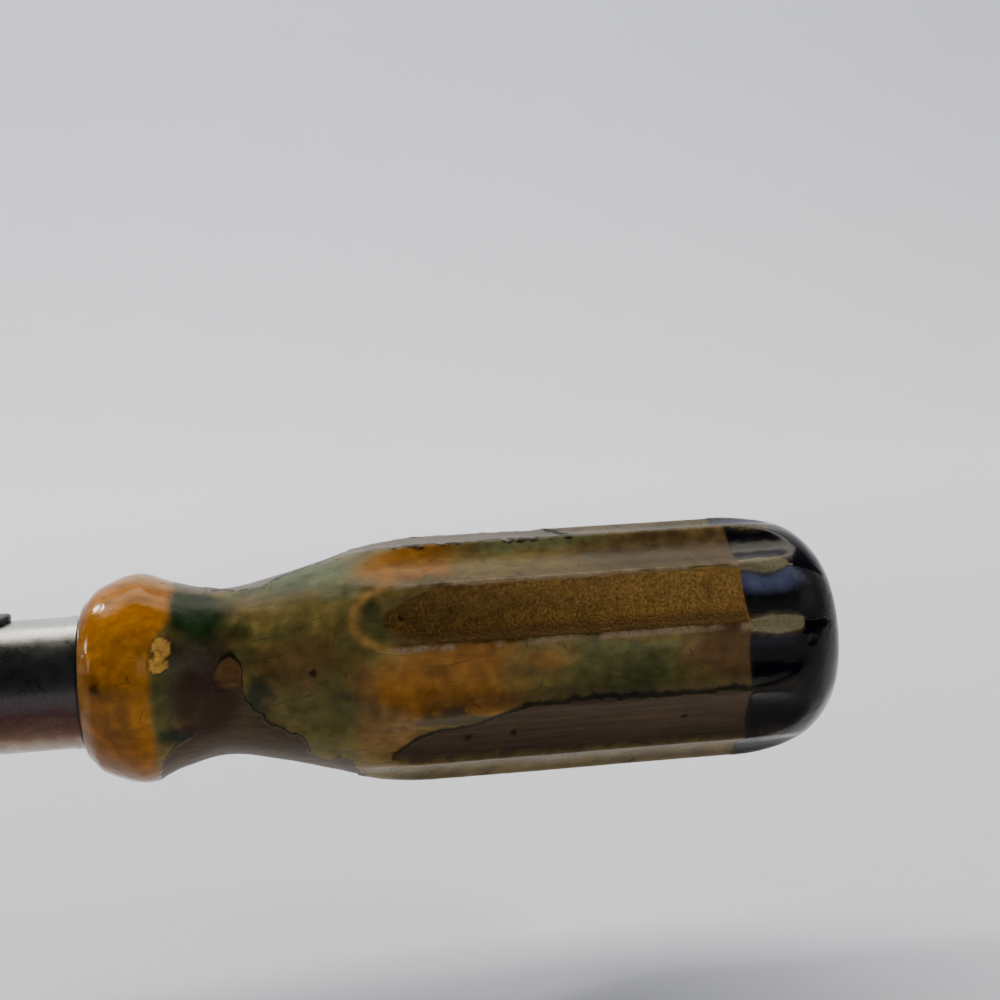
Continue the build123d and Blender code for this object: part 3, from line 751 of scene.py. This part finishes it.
def ferrule_steel():
    """Grey steel coloured by height with painted reflections and browning: pale at the very top,
    grey, then dark red-brown and beige along the bottom.
    """
    r = Recipe("ferrule_steel", Metallic=1.0)
    patina = r.noise(4 * MM, 6, 0.62)
    freckle = r.noise(0.45 * MM, 5, 0.7)
    lines = r.noise(0.22 * MM, 4, 0.7, stretch=(0.03, 1, 1))
    split = r.add("ShaderNodeSeparateXYZ")
    r.put(split.inputs[0], r.place)
    height = r.math("ADD", r.math("DIVIDE", split.outputs["Z"], 2 * FERRULE_TOP), 0.5)
    height = r.math("ADD", height, r.math("MULTIPLY", r.math("SUBTRACT", patina, 0.5), 0.22))
    # Painted reflection and browning: the colour runs by height from beige along the bottom
    # through dark red-brown and grey to a pale top.
    colour = r.ramp(height, [(0.04, (0.36, 0.30, 0.22)), (0.20, (0.15, 0.085, 0.057)),
                             (0.36, (0.046, 0.024, 0.022)), (0.50, (0.062, 0.054, 0.057)),
                             (0.72, (0.11, 0.106, 0.10)), (0.85, (0.20, 0.195, 0.18)),
                             (0.94, (0.52, 0.51, 0.47))])
    colour = r.mix(r.spread(freckle, 0.60, 0.74, 0, 0.7), colour, (0.035, 0.022, 0.016))
    r.output("Base Color", colour)
    r.output("Roughness", r.math("ADD", r.spread(patina, 0.3, 0.7, 0.22, 0.36),
                                 r.spread(freckle, 0.5, 0.8, 0, 0.2)))
    relief = r.math("ADD", r.math("MULTIPLY", lines, 0.8), r.math("MULTIPLY", freckle, 0.5))
    r.output("Normal", r.bump(relief, 0.008 * MM, 0.6))
    return r.material


def black_oxide(name, base, roughness):
    r = Recipe(name, Metallic=0.0)
    patch = r.noise(1.8 * MM, 6, 0.65)
    grit = r.noise(0.12 * MM, 4, 0.6)
    colour = r.mix(r.spread(patch, 0.45, 0.72, 0, 0.8), base, [c * 3.0 + 0.01 for c in base])
    r.output("Base Color", colour)
    r.output("Roughness", r.spread(patch, 0.3, 0.7, roughness, roughness + 0.18))
    r.output("Normal", r.bump(grit, 0.01 * MM, 0.6))
    return r.material


class SCREWDRIVER_OT_ferrule(bpy.types.Operator):
    """Finish the ferrule, its washer and screws, and the nose"""
    bl_idname = "screwdriver.ferrule"
    bl_label = "Ferrule and nose"

    def execute(self, context):
        tube = ferrule_steel()
        dress("ferrule", tube)
        dress("nose_cap", tube)
        dress("ferrule_washer", black_oxide("pressed_fibre", (0.012, 0.010, 0.009), 0.5))
        screw = aged_steel("screw_steel", (0.3, 0.28, 0.26), (0.12, 0.07, 0.05), 0.3)
        dress("ferrule_screws", screw)
        bronze = aged_steel("bush_bronze", (0.5, 0.32, 0.13), (0.25, 0.14, 0.06), 0.3)
        dress("nose_bush", bronze)
        return {"FINISHED"}


class SCREWDRIVER_OT_shifter(bpy.types.Operator):
    """Finish the ratchet's sliding shifter"""
    bl_idname = "screwdriver.shifter"
    bl_label = "Shifter"

    def execute(self, context):
        dress("shifter_button", black_oxide("shifter_black", (0.010, 0.010, 0.011), 0.28))
        inner = aged_steel("shifter_steel", (0.2, 0.2, 0.2), (0.08, 0.06, 0.05), 0.3)
        dress("shifter_plate", inner)
        dress("shifter_rivet", inner)
        return {"FINISHED"}


class SCREWDRIVER_OT_blade(bpy.types.Operator):
    """Finish the blade"""
    bl_idname = "screwdriver.blade"
    bl_label = "Blade"

    def execute(self, context):
        dress("blade", aged_steel("blade_steel", (0.50, 0.49, 0.48), (0.30, 0.255, 0.22), 0.20))
        return {"FINISHED"}


class SCREWDRIVER_OT_ratchet(bpy.types.Operator):
    """Finish the ratchet's inner parts"""
    bl_idname = "screwdriver.ratchet"
    bl_label = "Ratchet"

    def execute(self, context):
        turned = aged_steel("turned_steel", (0.42, 0.41, 0.40), (0.25, 0.2, 0.16), 0.28, False)
        hard = aged_steel("hard_steel", (0.26, 0.25, 0.26), (0.12, 0.09, 0.08), 0.25, False)
        spring = aged_steel("spring_steel", (0.16, 0.18, 0.26), (0.12, 0.08, 0.07), 0.22)
        for name in ("ratchet_body", "wheel_spacer"):
            dress(name, turned)
        for name in ("ratchet_wheel", "wheel_pin", "reversing_pawl", "pawl_pin", "tang_pin",
                     "thrust_ball", "thrust_washer", "detent_ball"):
            dress(name, hard)
        for name in ("retaining_ring", "pawl_spring", "detent_spring"):
            dress(name, spring)
        return {"FINISHED"}


# ---- stage ----
CAMERA_PLACE = (0.07194, -0.19311, 0.03999)
CAMERA_TURN = (84.16, 2.72, -7.51)  # degrees
GLINT_REACH = 1.1  # metres from the middle of the handle
# Each glint is (name, direction, size, power, colour).
GLINTS = [("high_left", (-0.62, 0.47, 0.63), (0.13, 0.06), 3.0, WHITE),
          ("low_left", (-0.92, 0.24, 0.30), (0.06, 0.10), 1.5, WHITE),
          ("left_card", (-0.97, -0.06, 0.22), (0.20, 0.20), 0.7, WHITE),
          ("front_window", (0.37, -0.83, 0.42), (0.50, 0.30), 1.3, (0.62, 0.72, 1.0)),
          ("right", (0.80, -0.23, 0.56), (0.20, 0.10), 2.4, WHITE)]


def soft_light(name, place, target, size, power, colour=WHITE):
    data = bpy.data.lights.new(name, "AREA")
    data.shape, data.size, data.size_y = "RECTANGLE", size[0], size[1]
    data.energy, data.color = power, colour
    lamp = bpy.data.objects.new(name, data)
    lamp.location = place
    lamp.rotation_euler = (Vector(target) - Vector(place)).to_track_quat("-Z", "Y").to_euler()
    bpy.context.scene.collection.objects.link(lamp)


class SCREWDRIVER_OT_stage(bpy.types.Operator):
    """Put a pale sweep under the tool, with soft light and a camera"""
    bl_idname = "screwdriver.stage"
    bl_label = "Stage"

    def execute(self, context):
        options = context.scene.screwdriver_stage
        self.sweep(options)
        self.lights()
        self.camera(options)
        return {"FINISHED"}

    def sweep(self, options):
        """A floor under the tool that curves up into a backdrop."""
        width, front, depth, bend, height = 3.0, -0.9, 0.75, 0.35, 1.6
        deselect()
        bpy.ops.mesh.primitive_plane_add(size=1, location=(0, 0, 0))
        floor = bpy.context.object
        floor.name = "sweep"
        floor.scale = (width, depth - front, 1)
        floor.location = (0, (depth + front) / 2, 0)
        bpy.ops.object.transform_apply(location=True, rotation=True, scale=True)
        bpy.ops.object.mode_set(mode="EDIT")
        bpy.ops.mesh.select_mode(type="EDGE")
        bpy.ops.mesh.select_all(action="DESELECT")
        bpy.ops.object.mode_set(mode="OBJECT")
        for edge in floor.data.edges:
            ends = [floor.data.vertices[v].co.y for v in edge.vertices]
            edge.select = min(ends) > depth - 0.01
        bpy.ops.object.mode_set(mode="EDIT")
        steps = 16
        reach = bend * math.pi / 2 / steps
        for step in range(steps):
            angle = (step + 0.5) / steps * math.pi / 2
            move = (0, reach * math.cos(angle), reach * math.sin(angle))
            bpy.ops.mesh.extrude_region_move(TRANSFORM_OT_translate={"value": move})
        bpy.ops.mesh.extrude_region_move(TRANSFORM_OT_translate={"value": (0, 0, height)})
        bpy.ops.object.mode_set(mode="OBJECT")
        bpy.ops.object.shade_smooth()
        floor.location = (BEAD_FACE + 60 * MM, 0, HANDLE_LOW.z - options.gap)
        bpy.ops.object.transform_apply(location=True, rotation=True, scale=True)
        r = Recipe("sweep_paper", Roughness=0.9)
        speck = r.noise(30 * MM, 4, 0.5)
        r.output("Base Color", r.mix(speck, (0.87, 0.885, 0.94), (0.90, 0.915, 0.97)))
        floor.data.materials.append(r.material)

    def lights(self):
        middle = Vector((BEAD_FACE + 50 * MM, 0, 0))
        soft_light("back_sky", (0.1, 1.3, 1.6), (0.1, 0.35, 0), (3.6, 2.0), 102, WARM)
        soft_light("wall_wash", (0.1, 0.55, 0.95), (0.1, 1.1, 0.55), (1.8, 0.2), 6.0)
        for name, direction, size, power, colour in GLINTS:
            place = middle + Vector(direction) * GLINT_REACH
            soft_light(name, place, middle, size, power, colour)
        world = bpy.data.worlds.new("studio")
        world.use_nodes = True
        background = world.node_tree.nodes["Background"]
        background.inputs["Color"].default_value = (0.92, 0.95, 1.0, 1)
        background.inputs["Strength"].default_value = 0.06
        bpy.context.scene.world = world

    def camera(self, options):
        data = bpy.data.cameras.new("camera")
        data.lens = options.lens
        data.clip_start = 0.01
        camera = bpy.data.objects.new("camera", data)
        camera.location = CAMERA_PLACE
        camera.rotation_euler = [math.radians(angle) for angle in CAMERA_TURN]
        bpy.context.scene.collection.objects.link(camera)
        bpy.context.scene.camera = camera


OPERATORS = (SCREWDRIVER_OT_handle, SCREWDRIVER_OT_ferrule, SCREWDRIVER_OT_shifter,
             SCREWDRIVER_OT_blade, SCREWDRIVER_OT_ratchet, SCREWDRIVER_OT_stage)


class SCREWDRIVER_PT_panel(bpy.types.Panel):
    bl_idname = "SCREWDRIVER_PT_panel"
    bl_label = "Ratchet screwdriver"
    bl_space_type = "VIEW_3D"
    bl_region_type = "UI"
    bl_category = "Screwdriver"

    def draw(self, context):
        for operator in OPERATORS:
            self.layout.operator(operator.bl_idname)


CLASSES = (HandleSettings, FinishSettings, StageSettings, *OPERATORS, SCREWDRIVER_PT_panel)


def register():
    for cls in CLASSES:
        bpy.utils.register_class(cls)
    bpy.types.Scene.screwdriver_handle = PointerProperty(type=HandleSettings)
    bpy.types.Scene.screwdriver_finish = PointerProperty(type=FinishSettings)
    bpy.types.Scene.screwdriver_stage = PointerProperty(type=StageSettings)


def unregister():
    del bpy.types.Scene.screwdriver_stage
    del bpy.types.Scene.screwdriver_finish
    del bpy.types.Scene.screwdriver_handle
    for cls in reversed(CLASSES):
        bpy.utils.unregister_class(cls)


def main():
    register()
    bpy.ops.screwdriver.handle()
    bpy.ops.screwdriver.ferrule()
    bpy.ops.screwdriver.shifter()
    bpy.ops.screwdriver.blade()
    bpy.ops.screwdriver.ratchet()
    bpy.ops.screwdriver.stage()


if __name__ == "__main__":
    main()
